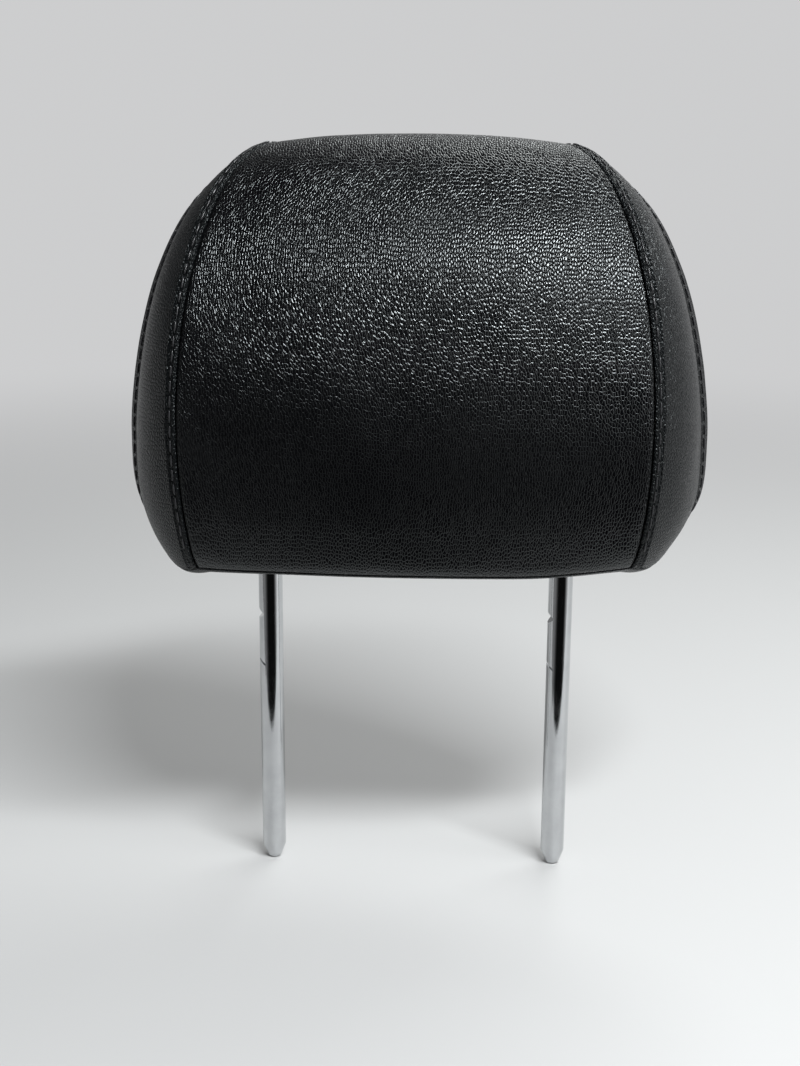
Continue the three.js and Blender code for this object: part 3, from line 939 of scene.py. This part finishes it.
bar = {
    "post": 72.5,
    "radius": 6.0,
    "top": 250.0,
    "bend": 28.0,
    "sides": 64,
    "bendSteps": 20,
    "tipRings": [(0.0, 3.2), (0.15, 3.5), (0.5, 3.75), (6.6, 5.88), (7.4, 6.0)],  # height and radius
    "merge": 0.01,
    "seam": 0.2,  # how near the middle the two halves join
    "notch": (133.4, 2.8, 3.1),  # height, half opening, depth
    "slot": (109.4, 0.5, 4.3, 40.0),  # height, half width, half length, degrees down
    "cutReach": 20,
    "edge": 0.18,
    "edgeSteps": 2,
    "edgeAngle": 35,
}
hole = {"radius": 6.5, "height": 158, "length": 60, "sides": 48}  # through the underside


def addBar():
    made = bmesh.new()
    tips = bar["tipRings"]
    ring = bmesh.ops.create_circle(made, cap_ends=True, segments=bar["sides"], radius=tips[0][1] * mm,
                                   matrix=Matrix.Translation((bar["post"] * mm, 0, 0)))["verts"]
    edges = made.edges[:]

    def grow():
        nonlocal ring, edges
        geom = bmesh.ops.extrude_edge_only(made, edges=edges)["geom"]
        ring = [item for item in geom if isinstance(item, bmesh.types.BMVert)]
        inRing = set(ring)
        edges = [item for item in geom if isinstance(item, bmesh.types.BMEdge)
                 and item.verts[0] in inRing and item.verts[1] in inRing]

    low = tips[0]
    for height, radius in tips[1:]:
        grow()
        share = radius / low[1]
        around = Matrix.Translation((-bar["post"] * mm, 0, 0))
        bmesh.ops.scale(made, vec=(share, share, 1), space=around, verts=ring)
        bmesh.ops.translate(made, vec=(0, 0, (height - low[0]) * mm), verts=ring)
        low = (height, radius)
    grow()
    bmesh.ops.translate(made, vec=(0, 0, (bar["top"] - bar["bend"] - low[0]) * mm), verts=ring)
    turned = bmesh.ops.spin(
        made, geom=ring + edges, cent=((bar["post"] - bar["bend"]) * mm, 0, (bar["top"] - bar["bend"]) * mm),
        axis=(0, 1, 0), angle=-math.pi / 2, steps=bar["bendSteps"])["geom_last"]
    ring = [item for item in turned if isinstance(item, bmesh.types.BMVert)]
    edges = [item for item in turned if isinstance(item, bmesh.types.BMEdge)]
    grow()
    bmesh.ops.translate(made, vec=((bar["bend"] - bar["post"]) * mm, 0, 0), verts=ring)
    bmesh.ops.mirror(made, geom=made.verts[:] + made.edges[:] + made.faces[:], merge_dist=bar["seam"] * mm,
                     axis="X")
    bmesh.ops.remove_doubles(made, verts=made.verts, dist=bar["merge"] * mm)
    bmesh.ops.recalc_face_normals(made, faces=made.faces)
    piece = addPiece("stay_bar_bright", made, "steel", "posts", "stay_bar")

    cutters = []
    for side in (-1, 1):
        surface = side * bar["post"] - bar["radius"]
        height, opening, depth = bar["notch"]
        wedge = bmesh.new()
        bmesh.ops.create_cube(wedge, size=math.sqrt(2), matrix=Matrix.Rotation(math.pi / 4, 4, "Y"))
        bmesh.ops.scale(wedge, vec=(depth * mm, bar["cutReach"] * mm, opening * mm), verts=wedge.verts)
        bmesh.ops.translate(wedge, vec=(surface * mm, 0, height * mm), verts=wedge.verts)
        cutters.append(toolOf(wedge))
        height, width, length, fall = bar["slot"]
        slit = bmesh.new()
        bmesh.ops.create_cube(slit, size=2)
        bmesh.ops.scale(slit, vec=(length * mm, bar["cutReach"] * mm, width * mm), verts=slit.verts)
        bmesh.ops.rotate(slit, cent=(0, 0, 0), matrix=Matrix.Rotation(math.radians(fall), 3, "Y"),
                         verts=slit.verts)
        bmesh.ops.translate(slit, vec=(surface * mm, 0, height * mm), verts=slit.verts)
        cutters.append(toolOf(slit))
    withoutCuts(piece, cutters)
    edge = piece.modifiers.new("edge", "BEVEL")
    edge.width = bar["edge"] * mm
    edge.segments = bar["edgeSteps"]
    edge.limit_method = "ANGLE"
    edge.angle_limit = math.radians(bar["edgeAngle"])
    edge.harden_normals = True
    smoothFaces(piece.data)


def drillFor(side):
    drill = bmesh.new()
    place = (side * bar["post"] * mm, 0, hole["height"] * mm)
    bmesh.ops.create_cone(drill, cap_ends=True, segments=hole["sides"], radius1=hole["radius"] * mm,
                          radius2=hole["radius"] * mm, depth=hole["length"] * mm,
                          matrix=Matrix.Translation(place))
    return toolOf(drill)


addBar()
for panel in undersides:
    withoutCuts(panel, [drillFor(-1), drillFor(1)])
print("bar ready")

# Stage and light

stage = {
    "floor": (0.595, 0.595, 0.592),
    "reach": 12,
    "front": -0.147,  # the floor nearer than this isn't seen in glossy surfaces
    "blend": (0.45, 1.7),  # how far out the floor runs into the background
    "seen": 0.62,  # brightness of the background
    "soft": 0.26,  # light from all round
    "dark": 0.006,  # what glossy surfaces see ahead and above
    "left": 0.24,
    "right": 0.8,
    "sides": (-0.35, 0.35),
    "ahead": (0.14, -0.99, 0.0),
    "aheadEdge": (0.4, 0.9),
    "roof": (0.0, 0.25),
    "roofBack": (0.25, 0.6),
    "tint": (0.985, 0.99, 1.0, 1),
    "roughness": 0.5,
    "drop": 0.0005,  # floor below the post tips
}
lamps = {
    "key": {"place": (0.49, -0.8, 1.4), "target": (0, 0, 0.3), "size": (0.82, 0.16), "power": 30,
            "colour": (0.96, 0.985, 1.0)},
    "back": {"place": (0.5, 0.75, 1.3), "target": (0, 0, 0.34), "size": (0.9, 0.3), "power": 7,
             "colour": (0.97, 1.0, 0.99)},
    "side": {"place": (1.5, -0.5, 0.8), "target": (0, 0, 0.25), "size": (0.7, 0.9), "power": 6,
             "colour": (1, 1, 1)},
}


def addFloor(name, low, high, material):
    made = bmesh.new()
    bmesh.ops.create_grid(made, x_segments=1, y_segments=1, size=0.5)
    bmesh.ops.scale(made, vec=(2 * stage["reach"], high - low, 1), verts=made.verts)
    bmesh.ops.translate(made, vec=(0, (low + high) / 2, -stage["drop"]), verts=made.verts)
    mesh = bpy.data.meshes.new(name)
    made.to_mesh(mesh)
    made.free()
    mesh.materials.append(material)
    floor = bpy.data.objects.new(name, mesh)
    scene.collection.objects.link(floor)
    return floor


def addLamp(name, values):
    data = bpy.data.lights.new(name, "AREA")
    data.shape = "RECTANGLE"
    data.size, data.size_y = values["size"]
    data.energy = values["power"]
    data.color = values["colour"]
    lamp = bpy.data.objects.new(name, data)
    away = Vector(values["place"]) - Vector(values["target"])
    turn = away.to_track_quat("Z", "Y").to_matrix().to_4x4()
    lamp.matrix_world = Matrix.Translation(values["place"]) @ turn
    scene.collection.objects.link(lamp)


def addWorld():
    world = bpy.data.worlds.new("studio")
    scene.world = world
    world.use_nodes = True
    tree = world.node_tree
    tree.nodes.clear()
    path = addNode(tree, "ShaderNodeLightPath")
    direction = addNode(tree, "ShaderNodeTexCoord").outputs["Generated"]
    parts = addNode(tree, "ShaderNodeSeparateXYZ", {"Vector": direction})
    flat = addNode(tree, "ShaderNodeVectorMath", {0: direction, 1: (1.0, 1.0, 0.0)}, operation="MULTIPLY")
    level = addNode(tree, "ShaderNodeVectorMath", {0: flat.outputs[0]}, operation="NORMALIZE")
    ahead = addNode(tree, "ShaderNodeVectorMath", {0: level.outputs[0], 1: stage["ahead"]},
                    operation="DOT_PRODUCT")
    soft = {"interpolation_type": "SMOOTHSTEP"}
    beside = addRange(tree, parts.outputs["X"], stage["sides"], (stage["left"], stage["right"]), **soft)
    around = addRange(tree, ahead.outputs["Value"], stage["aheadEdge"], (beside, stage["dark"]), **soft)
    high = addRange(tree, parts.outputs["Z"], stage["roof"], (0.0, 1.0), **soft)
    forward = addRange(tree, parts.outputs["Y"], stage["roofBack"], (1.0, 0.0), **soft)
    glossy = addMix(tree, addMath(tree, "MULTIPLY", high, forward), around, stage["dark"])
    seen = addMath(tree, "MAXIMUM", path.outputs["Is Camera Ray"], path.outputs["Is Transmission Ray"])
    lit = addMix(tree, path.outputs["Is Glossy Ray"], stage["soft"], glossy)
    strength = addMix(tree, seen, lit, stage["seen"])
    background = addNode(tree, "ShaderNodeBackground", {"Color": stage["tint"], "Strength": strength})
    out = addNode(tree, "ShaderNodeOutputWorld")
    tree.links.new(background.outputs[0], out.inputs["Surface"])


def floorMaterial():
    made, tree, shader = newMaterial("pale_floor")
    shader.inputs["Base Color"].default_value = (*stage["floor"], 1)
    shader.inputs["Roughness"].default_value = stage["roughness"]
    place = addNode(tree, "ShaderNodeTexCoord").outputs["Object"]
    away = addNode(tree, "ShaderNodeVectorMath", {0: place}, operation="LENGTH")
    path = addNode(tree, "ShaderNodeLightPath").outputs
    back = addRange(tree, away.outputs["Value"], stage["blend"], (0.0, 1.0), interpolation_type="SMOOTHSTEP")
    straight = addMath(tree, "MAXIMUM", path["Is Camera Ray"], path["Is Glossy Ray"])
    seen = addMath(tree, "MAXIMUM", straight, path["Is Transmission Ray"])
    share = addMath(tree, "MULTIPLY", back, seen)
    glow = addNode(tree, "ShaderNodeEmission", {"Color": stage["tint"], "Strength": stage["seen"]})
    both = addNode(tree, "ShaderNodeMixShader", {0: share, 1: shader.outputs[0], 2: glow.outputs[0]})
    tree.links.new(both.outputs[0], tree.nodes["Material Output"].inputs["Surface"])
    return made


pale = floorMaterial()
addFloor("floor", stage["front"], stage["reach"], pale)
nearFloor = addFloor("near_floor", -stage["reach"], stage["front"], pale)
nearFloor.visible_glossy = False
for name, values in lamps.items():
    addLamp(name, values)
addWorld()
print("stage ready")
